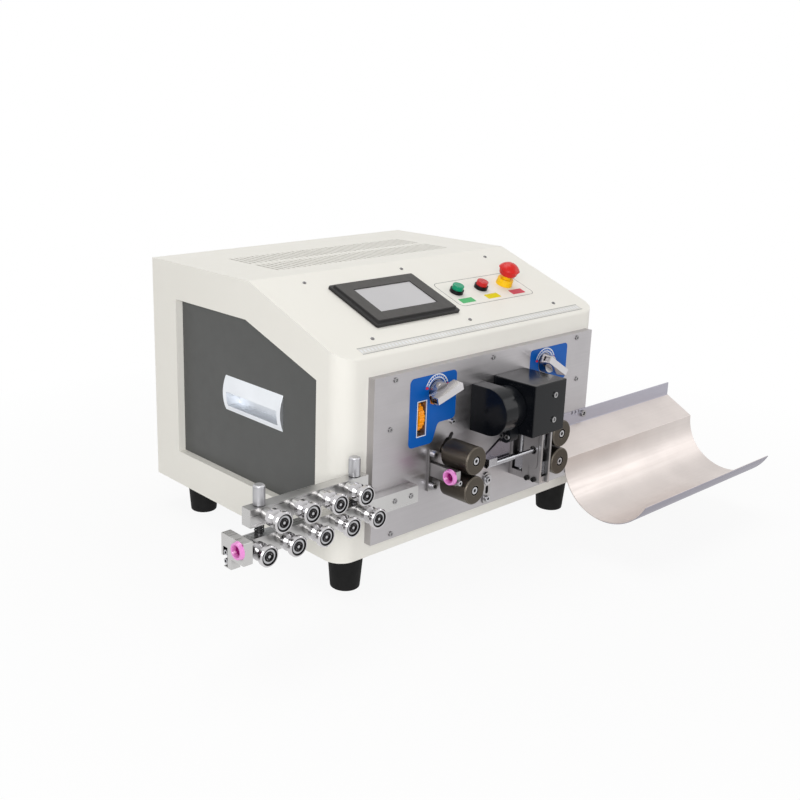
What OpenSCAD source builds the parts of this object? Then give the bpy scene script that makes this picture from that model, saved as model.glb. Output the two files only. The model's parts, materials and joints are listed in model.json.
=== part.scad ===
// Bench-top wire cutting and stripping machine: sheet housing on rubber feet, front plate with
// feed rollers, cutter head, swing guide tube, wire straightener on the left, output tray on the right.

/* [Housing] */
// Width of the sheet housing
body_w = 440; // [420:1:480]
// Depth of the sheet housing
body_d = 368; // [350:1:420]
// Height of the housing above its bottom edge
body_h = 293; // [285:1:330]
// Height of the front edge where the control slope starts
front_h = 232; // [225:1:245]
// Horizontal run of the control slope
slope_run = 162; // [150:1:190]
// Thickness of the sheet
sheet_t = 2; // [1.5:0.1:2.5]
// Radius of the upright front corners
corner_r = 22; // [15:1:26]
// Outside radius of the bends along the top
bend_r = 5; // [3:0.5:8]

/* [Side panels] */
// Front end of a side opening, from the housing front
side_y0 = 41; // [36:1:60]
// Rear end of a side opening
side_y1 = 315; // [290:1:335]
// Bottom of a side opening
side_z0 = 45; // [38:1:60]
// Top of a side opening
side_z1 = 247; // [235:1:255]
// Where the slanted front corner of the opening meets its top
side_cut_y = 168; // [150:1:185]
// Where the slanted front corner meets the front end
side_cut_z = 203.5; // [195:0.5:212]
// Depth of the side recess
recess = 10; // [6:1:14]
// Length of a pull handle
handle_l = 112; // [100:1:130]
// Height of a pull handle
handle_h = 44; // [40:1:52]
// Height of the handle's middle above the housing bottom
handle_z = 146; // [130:1:160]
// How far the handle hood bulges out
handle_bulge = 5; // [3:0.5:7]
// Depth of the finger pocket behind the panel
pocket = 18; // [14:1:24]

/* [Top vents] */
// Slots in a row
vent_count = 36; // [20:1:40]
// Width of a slot
vent_w = 3.6; // [2.5:0.1:4.5]
// Length of a slot
vent_l = 46; // [36:1:50]
// Start of the first row, from the housing front
vent_y = 198; // [196:1:205]
// Distance between the two rows
vent_gap = 10; // [6:1:14]
// Distance of the rows' ends from the housing sides
vent_end = 73; // [65:1:85]

/* [Feet] */
// Height of a rubber foot
foot_h = 42; // [35:1:50]
// Diameter of a foot at the top
foot_top_d = 41; // [36:1:46]
// Diameter of a foot at the floor
foot_low_d = 34; // [28:1:36]
// Distance of the feet from the middle plane
foot_x = 186; // [170:1:188]
// Distance of the front feet from the housing front
foot_front = 26; // [24:1:40]
// Distance of the rear feet from the housing front
foot_rear = 310; // [290:1:325]

/* [Front plate] */
// Width of the aluminium plate
plate_w = 381; // [370:1:386]
// Height of the plate
plate_h = 191; // [186:1:198]
// Thickness of the plate
plate_t = 10; // [8:0.5:12]
// Offset of the plate's middle from the housing's middle
plate_x = 8.5; // [4:0.5:10]
// Bottom of the plate above the housing bottom
plate_z = 18; // [14:1:22]

/* [Wire line] */
// Distance of the wire from the front of the plate
wire_out = 35; // [33:0.5:37]
// Height of the wire above the housing bottom
wire_z = 89; // [86:0.5:92]

/* [Feed rollers] */
// Diameter of a feed roller
roller_d = 33; // [30:0.5:34]
// Length of a feed roller
roller_l = 38; // [34:1:42]
// Gap between the upper and lower rollers
nip = 2; // [1:0.5:4]
// Distance of the rollers' back ends from the plate
roller_back = 12; // [11:0.5:14]
// Place of the front roller pair along the wire
front_roller_x = -70.5; // [-74:0.5:-68]
// Place of the rear roller pair along the wire
rear_roller_x = 83; // [82:0.5:86]
// Diameter of the roller spindles
spindle_d = 10; // [9:0.5:12]
// Teeth on each spindle gear
gear_teeth = 24; // [20:4:28]

/* [Knobs] */
// Place of the front lever knob along the plate
front_knob_x = -86; // [-88:0.5:-84]
// Place of the rear lever knob along the plate
rear_knob_x = 106; // [104:0.5:110]
// Height of the lever knobs
knob_z = 180.5; // [178:0.5:184]
// Diameter of the knob base
knob_d = 24; // [20:1:28]
// Length of the lever bar
lever_l = 41; // [36:1:46]
// Width of the lever bar at its foot
lever_w = 11; // [9:0.5:13]
// Height of the knob hub below the lever bar
hub_h = 9; // [7:0.5:11]
// How far the lever bar stands out of the plate
lever_out = 21; // [18:0.5:24]
// Rest angle of the front lever bar
front_lever_a = 16; // [10:1:20]
// Rest angle of the rear lever bar
rear_lever_a = -32; // [-36:1:-28]
// Place of the pressure wheel along the plate
wheel_x = -109; // [-111:0.5:-108]
// Height of the pressure wheel
wheel_z = 151; // [148:0.5:154]
// Diameter of the pressure wheel
wheel_d = 40; // [38:1:44]
// Thickness of the pressure wheel
wheel_t = 8; // [7:0.5:9]
// How far the wheel stands out of the plate
wheel_out = 1.5; // [1:0.5:3]

/* [Cutter] */
// Middle of the cutter head along the wire
cutter_x = 57; // [56:0.5:58]
// Width of the cutter cover
cover_w = 57; // [54:1:60]
// Height of the cutter cover
cover_h = 62; // [58:1:66]
// How far the cutter cover stands out of the plate
cover_out = 62; // [58:1:68]
// Bottom of the cutter cover
cover_z = 119; // [118:1:122]
// Travel of each blade from open to closed
blade_travel = 8; // [6:0.5:9]
// Width of a blade
blade_w = 18; // [16:1:20]

/* [Guide tube] */
// Outside diameter of the guide tube
tube_d = 7; // [6:0.5:8]
// Bore of the guide tube
tube_bore = 4; // [3:0.5:5]
// Thickness of the swing arm
arm_w = 14; // [12:1:15]
// Radius of the half-round swing cover
swing_r = 28; // [26:1:30]

/* [Straightener] */
// Diameter of a straightener roller
spool_d = 22; // [20:0.5:24]
// Diameter at the bottom of its groove
spool_neck = 13; // [11:0.5:15]
// Length of a straightener roller
spool_l = 20; // [18:1:22]
// Distance between neighbouring rollers in a row
spool_pitch = 36; // [33:0.5:38]
// Distance between the two rows
row_gap = 30; // [28:0.5:32]
// Place of the last lower roller along the wire
spool_x = -213; // [-216:0.5:-208]
// Thickness of the straightener bars
bar_t = 14; // [12:1:16]
// Height of the lower bar
bar_h = 20; // [18:1:22]
// Height of the upper bar
slider_h = 19; // [17:1:22]
// Diameter of a thumbscrew head
thumb_d = 12; // [10:0.5:13]
// Height of a thumbscrew head
thumb_h = 21; // [16:1:24]
// Outside diameter of the ceramic eyelets
eyelet_d = 18.5; // [18:0.5:20]
// Bore of the ceramic eyelets
eyelet_bore = 8; // [7:0.5:9]
// How far the first eyelet lies below the wire line
entry_drop = 3.5; // [0:0.5:4]

/* [Tray] */
// Length of the output tray
tray_l = 285; // [200:1:320]
// Left end of the tray
tray_x = 107.5; // [106:0.5:112]
// Radius of the trough
trough_r = 60; // [50:1:65]
// Sheet of the tray
tray_t = 1.5; // [1:0.1:2]
// Height of the tray flange on the plate
flange_h = 18; // [15:1:22]
// Top of the flange above the housing bottom
flange_z = 105; // [102:1:108]
// How far the sloped sheet falls
tray_fall = 21; // [15:1:26]
// How far the sloped sheet runs forward
tray_run = 39; // [34:1:46]
// Angle of the front wall past the bottom of the trough
trough_a = 65; // [50:1:75]

/* [Controls] */
// Width of the screen bezel
hmi_w = 136; // [128:1:140]
// Height of the screen bezel along the slope
hmi_h = 91; // [84:1:94]
// Middle of the screen bezel across the slope
hmi_x = -64; // [-68:1:-62]
// Middle of the screen bezel up the slope
hmi_s = 90; // [86:1:94]
// Width of the visible screen
screen_w = 92; // [86:1:96]
// Height of the visible screen
screen_h = 51; // [48:1:54]
// Place of the buttons up the slope
button_s = 86; // [82:1:92]
// Place of the first button across the slope
button_x = 39; // [36:1:44]
// Distance between the buttons
button_pitch = 45; // [40:1:50]
// Diameter of a button cap
cap_d = 14.5; // [13:0.5:15]
// Diameter of a button collar
collar_d = 17.5; // [17:0.5:20]
// Diameter of the stop mushroom
mushroom_d = 27; // [24:1:32]

/* [Fits] */
// Radial clearance of a turning fit
run = 0.05; // [0.03:0.01:0.09]
// Clearance between sheets and seated pieces
fit = 0.3; // [0.2:0.05:0.5]

/* [Hidden] */
$fn = 48;
LOWER = 5;
UPPER = 4;

// Housing
slope_a = atan2(body_h - front_h, slope_run);
plate_front = -plate_t;
wire_y = plate_front - wire_out;
base_t = 2;
rear_t = 2;
side_outline = [[side_y0, side_z0], [side_y1, side_z0], [side_y1, side_z1],
    [side_cut_y, side_z1], [side_y0, side_cut_z]];
panel_lap = 6;
front_border = 16;
front_open_w = plate_w - 2*front_border;
front_open_h = plate_h - 2*front_border;
handle_y = (side_y0 + side_y1)/2 - 12;
handle_wall = 2.5;
hood_share = 0.42;
handle_r = (pow(handle_h/2, 2) + pow(handle_bulge, 2))/(2*handle_bulge);
panel_x = body_w/2 - recess;

// Feed
roller_low_z = wire_z - (roller_d + nip)/2;
roller_high_z = wire_z + (roller_d + nip)/2;
roller_y0 = plate_front - roller_back - roller_l;
gear_y = 3;
gear_t = 8;
gear_module = (roller_d + nip)/gear_teeth;
arm_y = gear_y + gear_t + 2;
arm_t = 8;
motor_y = 30;
motor_reach = 10;
feed_motor_w = 57;
feed_motor_l = 56;
cut_motor_w = 42;
cut_motor_l = 48;
pivot_dx = 31;
pivot_dz = -25;
pivot_d = 10;
knob_shaft_d = 8;
cam_r = 9;
cam_e = cam_r - knob_shaft_d/2;
finger_w = 10;
finger_gap = 0.5;
slot_rise = 20;
slot_way = unit([-pivot_dz, pivot_dx]);
slot_w = spindle_d + 2;
bracket_t = 3;
bracket_w = 26;
bracket_low = 27;
bracket_up = 23;
high_window_r = roller_d/2 + 6.8;
low_window_r = roller_d/2 + 3.5;
post_reach = 19.8;
post_w = 6.5;
lever_slant = 1.5;
lever_dent = 2;
wheel_axle_d = 6;
wheel_gap = 2.25;
wheel_y = plate_front - wheel_out + wheel_d/2;
wheel_open = 2*sqrt(pow(wheel_d/2, 2) - pow(wheel_d/2 - wheel_out - plate_t, 2)) + 3;

// Cutter
cover_x = 10.5;
guide_wall = 3;
guide_w = 14;
guide_z = 49;
guide_front = plate_front - 50;
guide_left_front = plate_front - 46.5;
guide_left_rear = plate_front - 20;
screw_d = 5;
cut_shaft_d = 6;
screw_y = plate_front - 12;
mitre_z = cover_z + 31;
mitre_r = 7;
wire_hole_d = 10;
holder_gap = 6;
holder_h = 16;
holder_w = guide_w - 2*guide_wall - 0.5;
blade_t = 1.8;
horn = 5;

// Guide tube
swing_y = plate_front - 26;
swing_z = cover_z + 30;
swing_x0 = -27.5;
swing_x1 = cover_x - 1.5 - arm_w - 1.5;
swing_wall = 2.5;
arm_x0 = swing_x1 + 1.5;
arm_end_z = wire_z + 29;
carrier_t = 3;
carrier_h = 26;
swing_shaft_d = 8;
tube_x0 = -36;
tube_x1 = cutter_x - guide_w/2 - 1;

// Straightener
row_low_z = wire_z - row_gap/2;
row_high_z = wire_z + row_gap/2;
spool_x0 = spool_x - (LOWER - 1)*spool_pitch;
spool_y0 = wire_y - spool_l/2;
axle_d = 8;
bar_front = plate_front - bar_t;
bar_z = row_low_z - 14;
slider_z = row_high_z - 12;
bar_x1 = -124;
bar_x0 = spool_x0 - 18;
slider_x0 = spool_x0;
slider_x1 = spool_x + 12;
thumb_left_x = spool_x0 + 16;
thumb_right_x = spool_x - 2;
thumb_y = plate_front - bar_t/2;
rod_d = 6;
holder_t = 11;
holder_x0 = bar_x0 - holder_t;
holder_front = wire_y - 7;
holder_rear = bar_front + 8;
holder_low = wire_z - 18;
end_block_h = 23;
lip_t = 4;
eyelet_x = -98;

// Tray
tray_y = plate_front - tray_t;
knee_y = tray_y - tray_run;
knee_z = flange_z - flange_h - tray_fall;
trough_y = knee_y - trough_r;
ridge_y = trough_y - (trough_r + tray_t)*sin(trough_a);

// Controls
bezel_h = 7;
collar_h = 5;
cap_up = 10.5;
stem_d = 12;
estop_x = button_x + 2*button_pitch;
collar_up = 9;

// Rear
inlet_x = -130;
inlet_z = 62;
switch_x = -84;
inlet_out = 3;
inlet_cut = [27.5, 20];
inlet_face = [48, 25];
inlet_bore = [24, 16.5];
switch_cut = [19.2, 29];
switch_face = [24, 34];
switch_bore = [15, 24];
rocker_w = 14;
rocker_r = 11.6;
rocker_y = body_d - 6;
socket_depth = 16;
supply = [98, 160, 40];
board = [150, 110, 1.6];
board_up = 10;
electrics_y = 170;
supply_x = body_w/2 - 160;
board_x = 50 - body_w/2;

// Whole part: the origin is below the middle of everything
left_end = holder_x0 - lip_t;
right_end = tray_x + tray_l;
front_end = ridge_y;
rear_end = body_d + inlet_out;
middle = [-(left_end + right_end)/2, -(front_end + rear_end)/2, foot_h];

// Places and shapes that repeat
module placed() { translate(middle) children(); }
module on_slope() { translate([0, 0, front_h]) rotate([slope_a, 0, 0]) children(); }
module along_x(x0, l) { translate([x0, 0, 0]) rotate([90, 0, 90]) linear_extrude(l) children(); }
module along_y(y0, l) { translate([0, y0 + l, 0]) rotate([90, 0, 0]) linear_extrude(l) children(); }
module rod_x(x0, l, y, z, d) { translate([x0, y, z]) rotate([0, 90, 0]) cylinder(h = l, d = d); }
module rod_y(y0, l, x, z, d) { translate([x, y0 + l, z]) rotate([90, 0, 0]) cylinder(h = l, d = d); }

// Flat rectangle with rounded corners, its middle at the origin
module round_rect(w, h, r) {
    square([w - 2*r, h], center = true);
    square([w, h - 2*r], center = true);
    for (i = [-1, 1], j = [-1, 1]) translate([i*(w/2 - r), j*(h/2 - r)]) circle(r);
}

// Flat bar with round ends between two points
module link(a, b, w) {
    d = b - a;
    translate(a) rotate(atan2(d[1], d[0])) translate([0, -w/2]) square([norm(d), w]);
    translate(a) circle(d = w);
    translate(b) circle(d = w);
}

// Outline moved inwards by t; a negative t moves it outwards
function unit(v) = v/norm(v);
function inset(p, t) = [for (i = [0 : len(p) - 1])
    let (n = len(p),
         a = unit(p[i] - p[(i + n - 1) % n]),
         b = unit(p[(i + 1) % n] - p[i]),
         na = [-a[1], a[0]],
         nb = [-b[1], b[0]])
    p[i] + t*(na + nb)/(1 + na*nb)];

// Points of an arc round c
function arc(c, r, a0, a1, n) = [for (i = [0 : n]) let (a = a0 + (a1 - a0)*i/n) c + r*[cos(a), sin(a)]];

// Side outline of the housing, moved inwards by t, with its bends rounded
function bend(p, q, s, r) =
    let (u = unit(p - q), v = unit(s - q), half = acos(u*v)/2, c = q + unit(u + v)*r/sin(half),
         turn = 180 - 2*half)
    [for (i = [0 : 5]) let (a = atan2(u[0], -u[1]) + turn*i/5) c + r*[cos(a), sin(a)]];
function shell_side(t, back, low) =
    let (p = inset([[0, 0], [body_d, 0], [body_d, body_h], [slope_run, body_h], [0, front_h]], t),
         r = bend_r - t)
    concat([[p[0][0], low], [back, low], [back, p[2][1]]],
        bend([back, p[3][1]], p[3], p[4], r), bend(p[3], p[4], [p[0][0], low], r));

// Sheet housing
module shell(t, back, low) {
    intersection() {
        along_x(t - body_w/2, body_w - 2*t) polygon(shell_side(t, back, low));
        translate([0, 0, low - 1]) linear_extrude(body_h - low + 2) {
            translate([t - body_w/2, corner_r]) square([body_w - 2*t, back + 1 - corner_r]);
            translate([corner_r - body_w/2, t]) square([body_w - 2*corner_r, corner_r]);
            for (i = [-1, 1]) translate([i*(body_w/2 - corner_r), corner_r]) circle(corner_r - t);
        }
    }
}
module housing() color([0.92, 0.91, 0.87]) placed() {
    difference() {
        shell(0, body_d, 0);
        shell(sheet_t, body_d + 1, -1);
        along_x(-body_w, 2*body_w) polygon(side_outline);
        translate([plate_x - front_open_w/2, -1, plate_z + front_border])
            cube([front_open_w, sheet_t + 2, front_open_h]);
        on_slope() control_holes();
        top_vents();
    }
    for (i = [0, 1]) mirror([i, 0, 0]) along_x(panel_x, recess) difference() {
        polygon(inset(side_outline, -sheet_t));
        polygon(side_outline);
    }
}
module top_vents() {
    pitch = (body_w - 2*vent_end)/(vent_count - 1);
    for (i = [0 : vent_count - 1], y = [vent_y, vent_y + vent_l + vent_gap])
        translate([vent_end - body_w/2 + i*pitch - vent_w/2, y, body_h - 2*sheet_t])
            cube([vent_w, vent_l, 3*sheet_t]);
}
module control_holes() {
    translate([hmi_x - hmi_w/2 + 6, hmi_s - hmi_h/2 + 6, -2*sheet_t])
        cube([hmi_w - 12, hmi_h - 12, 4*sheet_t]);
    for (i = [0 : 2]) translate([button_x + i*button_pitch, button_s, -2*sheet_t])
        cylinder(h = 4*sheet_t, d = cap_d + 1.5 + 2*fit);
}
module base_plate() color([0.75, 0.75, 0.76]) placed() {
    w = body_w - 2*sheet_t - 2*fit;
    translate([-w/2, corner_r, 0]) cube([w, body_d - corner_r - rear_t - fit, base_t]);
    translate([-w/2 + corner_r, sheet_t + fit, 0]) cube([w - 2*corner_r, corner_r, base_t]);
}
module rear_panel() color([0.92, 0.91, 0.87]) placed() difference() {
    w = body_w - 2*sheet_t - 2*fit;
    translate([-w/2, body_d - rear_t, 0]) cube([w, rear_t, body_h - sheet_t - fit]);
    along_y(body_d - rear_t - 1, rear_t + 2) {
        translate([inlet_x, inlet_z]) square(inlet_cut, center = true);
        translate([switch_x, inlet_z]) square(switch_cut, center = true);
        for (i = [0 : 9], j = [0 : 2]) translate([60 + 12*i, 170 + 26*j]) round_rect(4, 18, 1.9);
    }
}
module side_panels() color([0.35, 0.355, 0.35]) placed() for (i = [0, 1]) mirror([i, 0, 0])
    along_x(panel_x - sheet_t, sheet_t) difference() {
        polygon(inset(side_outline, -panel_lap));
        translate([handle_y, handle_z]) square([handle_l - 8, handle_h - 8], center = true);
    }
module side_handles() color([0.86, 0.87, 0.89]) placed() for (i = [0, 1]) mirror([i, 0, 0])
    translate([panel_x, handle_y, handle_z]) difference() {
        cup_l = handle_l - 8 - 2*fit;
        cup_h = handle_h - 8 - 2*fit;
        union() {
            intersection() {
                translate([handle_bulge - handle_r, -handle_l/2, 0]) rotate([-90, 0, 0])
                    cylinder(h = handle_l, r = handle_r, $fn = 96);
                translate([0, -handle_l/2, -handle_h/2]) cube([handle_bulge, handle_l, handle_h]);
            }
            translate([-pocket, -cup_l/2, -cup_h/2]) cube([pocket, cup_l, cup_h]);
        }
        translate([handle_wall - pocket, handle_wall - cup_l/2, handle_wall - cup_h/2])
            cube([pocket - handle_wall + 1, cup_l - 2*handle_wall, cup_h - 2*handle_wall]);
        translate([0, handle_wall - cup_l/2, handle_wall - cup_h/2])
            cube([handle_bulge + 1, cup_l - 2*handle_wall, (cup_h - 2*handle_wall)*(1 - hood_share)]);
    }
module feet() color([0.1, 0.1, 0.1]) placed()
    for (i = [-1, 1], y = [foot_front, foot_rear]) translate([i*foot_x, y, -foot_h])
        cylinder(h = foot_h, d1 = foot_low_d, d2 = foot_top_d);

// Front plate with the feed and cutter openings
module pair_slot(x) {
    along_y(plate_front - bracket_t - 1, plate_t + bracket_t + 2)
        link([x, roller_high_z], [x, roller_high_z] + slot_rise/2*slot_way, slot_w);
}
module post_slot(x) {
    along_y(plate_front - 1, plate_t + 2)
        link([x, roller_high_z] + slot_rise/2*slot_way, [x, roller_high_z] + post_reach*slot_way, post_w);
}
module front_plate() color([0.73, 0.73, 0.74]) placed() difference() {
    translate([plate_x - plate_w/2, plate_front, plate_z]) cube([plate_w, plate_t, plate_h]);
    for (x = [front_roller_x, rear_roller_x]) {
        rod_y(plate_front - 1, plate_t + 2, x, roller_low_z, spindle_d + 2*run);
        pair_slot(x);
        post_slot(x);
    }
    for (x = [front_knob_x, rear_knob_x])
        rod_y(plate_front - 1, plate_t + 2, x, knob_z, knob_shaft_d + 2*run);
    rod_y(plate_front - 1, plate_t + 2, cutter_x, mitre_z, cut_shaft_d + 2*run);
    translate([wheel_x - wheel_t/2 - wheel_gap, plate_front - 1, wheel_z - wheel_open/2])
        cube([wheel_t + 2*wheel_gap, plate_t + 2, wheel_open]);
}

// Small screws that hold the plate, the control slope and the tray
module screw_head(d, h) {
    difference() {
        cylinder(h = h, d = d);
        translate([0, 0, h/2]) cylinder(h = h, d = d*0.55, $fn = 6);
    }
}
module panel_screws() color([0.6, 0.6, 0.6]) placed() {
    for (i = [-1 : 1], z = [plate_z + 6, plate_z + plate_h - 6])
        translate([plate_x + i*(plate_w/2 - 31), plate_front, z]) rotate([90, 0, 0]) screw_head(6, 1.2);
    for (i = [-1, 1])
        translate([plate_x + i*(plate_w/2 - 25), plate_front, plate_z + 130]) rotate([90, 0, 0])
            screw_head(6, 1.2);
    for (i = [-1 : 1], s = [28, 153])
        on_slope() translate([5 + i*(body_w/2 - 62), s, 0]) screw_head(4.5, 1);
    translate([plate_x + plate_w/2 - 8, tray_y, flange_z - flange_h/3]) rotate([90, 0, 0])
        screw_head(9, 3);
    for (x = [bar_x1 - 11, bar_x1 - 36])
        translate([x, bar_front, bar_z + bar_h/2]) rotate([90, 0, 0]) screw_head(6, 0.8);
    for (i = [-1, 1])
        translate([cover_x + cover_w*0.64, plate_front - cover_out, cover_z + cover_h/2 + 15*i])
            rotate([90, 0, 0]) screw_head(7, 1.5);
}

// Controls on the slope
module hmi_bezel() color([0.3, 0.29, 0.28]) placed() on_slope() translate([hmi_x, hmi_s, 0])
    difference() {
        union() {
            linear_extrude(bezel_h - 3) round_rect(hmi_w, hmi_h, 3);
            linear_extrude(bezel_h) round_rect(hmi_w - 8, hmi_h - 8, 2);
            translate([0, 0, -30]) linear_extrude(31) round_rect(hmi_w - 13, hmi_h - 13, 3);
        }
        translate([-screen_w/2, -screen_h/2, bezel_h - 2.5]) cube([screen_w, screen_h, 5]);
    }
module hmi_screen() color([0.77, 0.77, 0.78]) placed() on_slope()
    translate([hmi_x - screen_w/2 + 0.1, hmi_s - screen_h/2 + 0.1, bezel_h - 2.5])
        cube([screen_w - 0.2, screen_h - 0.2, 1.5]);
module button_place(i) { on_slope() translate([button_x + i*button_pitch, button_s, 0]) children(); }
module button_collars() color([0.08, 0.08, 0.08]) placed() for (i = [0, 1]) button_place(i)
    difference() {
        union() {
            cylinder(h = collar_h, d = collar_d);
            translate([0, 0, -22]) cylinder(h = 23, d = cap_d + 1.5);
        }
        translate([0, 0, -16]) cylinder(h = 40, d = cap_d + 2*run);
    }
module cap(i) { button_place(i) translate([0, 0, -8]) cylinder(h = 8 + cap_up, d = cap_d); }
module start_button() color([0, 0.63, 0.47]) placed() cap(0);
module stop_button() color([0.84, 0.16, 0.18]) placed() cap(1);
module estop_collar() color([1, 0.8, 0]) placed() button_place(2) difference() {
    union() {
        cylinder(h = collar_up, d1 = mushroom_d*0.8, d2 = mushroom_d*0.74);
        translate([0, 0, -26]) cylinder(h = 27, d = cap_d + 1.5);
    }
    translate([0, 0, -18]) cylinder(h = 60, d = stem_d + 2*run);
}
module estop_stem() color([0.75, 0.75, 0.75]) placed() button_place(2)
    translate([0, 0, -10]) cylinder(h = 10 + collar_up + 8, d = stem_d);
module estop_head() color([0.88, 0.16, 0.1]) placed() button_place(2)
    translate([0, 0, collar_up + 5]) difference() {
        rotate_extrude() polygon(concat([[0, 0], [mushroom_d*0.37, 0], [mushroom_d*0.42, 2],
            [mushroom_d*0.47, 8]], arc([0, mushroom_d*0.04], mushroom_d*0.575, 28, 90, 8)));
        translate([0, 0, -1]) cylinder(h = 4, d = stem_d + 2*run);
    }

// Lever knobs with the cam that lifts the upper feed roller
module lever_knob(x, turn) {
    rod_y(plate_front - 12, 12 + plate_t + arm_y + arm_t + 2, x, knob_z, knob_shaft_d);
    rod_y(arm_y, arm_t, x - cam_e, knob_z, 2*cam_r);
    translate([x, plate_front - fit, knob_z]) rotate([90, 0, 0]) {
        cylinder(h = hub_h, d1 = knob_d, d2 = knob_d - 3);
        rotate(turn) difference() {
            along_x(-lever_l/2, lever_l) polygon([[-lever_w/2, hub_h - 1], [lever_w/2, hub_h - 1],
                [lever_w/2 - lever_slant, lever_out], [lever_slant - lever_w/2, lever_out]]);
            for (i = [-1, 1]) translate([i*lever_l/2, 0, (hub_h + lever_out)/2])
                cube([2*lever_dent, lever_w - 5, lever_out - hub_h - 4], center = true);
        }
    }
}
module front_knob() color([0.85, 0.85, 0.86]) placed() lever_knob(front_knob_x, front_lever_a);
module rear_knob() color([0.85, 0.85, 0.86]) placed() lever_knob(rear_knob_x, rear_lever_a);
module thumbwheel() color([1, 0.62, 0]) placed() difference() {
    rod_x(wheel_x - wheel_t/2, wheel_t, wheel_y, wheel_z, wheel_d);
    rod_x(wheel_x - wheel_t, 2*wheel_t, wheel_y, wheel_z, wheel_axle_d + 2*run);
    for (a = [0 : 15 : 345]) translate([wheel_x - wheel_t, wheel_y, wheel_z]) rotate([a, 0, 0])
        translate([0, wheel_d/2 + 0.6, 0]) rotate([0, 90, 0]) cylinder(h = 2*wheel_t, d = 3);
}

// Fixed pins behind the plate: the arm pivots and the axle of the pressure wheel
module pivot_pins() color([0.7, 0.7, 0.72]) placed() {
    for (x = [front_roller_x, rear_roller_x]) {
        rod_y(0, arm_y + arm_t + 3, x + pivot_dx, roller_high_z + pivot_dz, pivot_d);
        rod_y(0, arm_y - fit, x + pivot_dx, roller_high_z + pivot_dz, pivot_d + 6);
        rod_y(arm_y + arm_t + fit, 2.5, x + pivot_dx, roller_high_z + pivot_dz, pivot_d + 6);
    }
    rod_x(wheel_x - wheel_t/2 - 5, wheel_t + 10, wheel_y, wheel_z, wheel_axle_d);
    for (x = [wheel_x - wheel_t/2 - 5, wheel_x + wheel_t/2 + 1.5]) translate([x, 0, wheel_z - 6])
        cube([3.5, wheel_y + 6, 12]);
}

// Brackets on the plate behind the feed rollers
module feed_brackets() color([0.66, 0.66, 0.67]) placed() {
    x0 = front_roller_x - bracket_w;
    difference() {
        union() {
            along_y(plate_front - bracket_t, bracket_t) difference() {
                translate([x0, wire_z - bracket_low]) square([bracket_w, bracket_low + bracket_up]);
                translate([front_roller_x, roller_high_z]) circle(high_window_r);
                translate([front_roller_x, roller_low_z]) circle(low_window_r);
            }
            translate([eyelet_x + 3, wire_y - 8, wire_z - 8]) cube([7, plate_front - wire_y + 8, 16]);
        }
        rod_x(eyelet_x - 1, 20, wire_y, wire_z, eyelet_d - 8 + 2*fit);
    }
    for (z = [wire_z - 20, wire_z + 18.5]) rod_y(plate_front - bracket_t - 5, bracket_t + 5, x0 + 4, z, 6);
    difference() {
        translate([rear_roller_x - 17, plate_front - bracket_t, wire_z - 36]) cube([39, bracket_t, 64]);
        rod_y(plate_front - bracket_t - 1, bracket_t + 2, rear_roller_x, roller_low_z, spindle_d + 1);
        pair_slot(rear_roller_x);
    }
}

// Feed rollers on their spindles, with the gears that tie each pair together
module gear(x, z, turn) {
    pitch_r = gear_module*gear_teeth/2;
    translate([x, gear_y + gear_t, z]) rotate([90, 0, 0]) rotate(turn) linear_extrude(gear_t) {
        circle(pitch_r - 1.25*gear_module);
        for (i = [0 : gear_teeth - 1]) rotate(i*360/gear_teeth) polygon([
            [pitch_r - 1.6*gear_module, -0.9*gear_module], [pitch_r - 1.6*gear_module, 0.9*gear_module],
            [pitch_r, 0.6*gear_module], [pitch_r + 0.75*gear_module, 0.32*gear_module],
            [pitch_r + 0.75*gear_module, -0.32*gear_module], [pitch_r, -0.6*gear_module]]);
    }
}
module roller(x, z, back, turn) {
    difference() {
        union() {
            rod_y(roller_y0 + 1, roller_l - 1, x, z, roller_d);
            translate([x, roller_y0 + 1, z]) rotate([90, 0, 0])
                cylinder(h = 1, d1 = roller_d, d2 = roller_d - 2);
        }
        rod_y(roller_y0 - 1, 5, x, z, 12);
    }
    rod_y(roller_y0 + 1.5, 3, x, z, 8.5);
    rod_y(roller_y0 + roller_l - 1, back - roller_y0 - roller_l + 1, x, z, spindle_d);
    gear(x, z, turn);
}
module upper_roller(x) {
    roller(x, roller_high_z, arm_y + arm_t + 3, 180/gear_teeth);
    rod_y(arm_y + arm_t + fit, 2.5, x, roller_high_z, spindle_d + 6);
}
module roller_colour() color([0.31, 0.29, 0.27]) placed() children();
module front_lower_roller() roller_colour() roller(front_roller_x, roller_low_z, motor_y + motor_reach, 0);
module front_upper_roller() roller_colour() upper_roller(front_roller_x);
module rear_lower_roller() roller_colour() roller(rear_roller_x, roller_low_z, motor_y + motor_reach, 0);
module rear_upper_roller() roller_colour() upper_roller(rear_roller_x);

// Swing arm behind the plate: pivot, upper spindle and a finger beside the knob's cam
module swing_lever(x, knob_x) {
    eye = [x, roller_high_z];
    pivot = eye + [pivot_dx, pivot_dz];
    finger = knob_x + knob_shaft_d/2 + finger_gap + finger_w/2;
    elbow = [finger, knob_z - 30];
    tip = [finger, knob_z + cam_r];
    d = unit(elbow - eye);
    across = finger_w/2*[-d[1], d[0]];
    mitre = (across + [-finger_w/2, 0])/(1 + d[1]);
    along_y(arm_y, arm_t) difference() {
        union() {
            link(pivot, eye, spindle_d + 12);
            polygon([eye + across, elbow + mitre, tip - [finger_w/2, 0],
                tip + [finger_w/2, 0], elbow - mitre, eye - across]);
        }
        translate(eye) circle(d = spindle_d + 2*run);
        translate(pivot) circle(d = pivot_d + 2*run);
    }
}
module front_arm() color([0.55, 0.55, 0.57]) placed() swing_lever(front_roller_x, front_knob_x);
module rear_arm() color([0.55, 0.55, 0.57]) placed() swing_lever(rear_roller_x, rear_knob_x);

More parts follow.
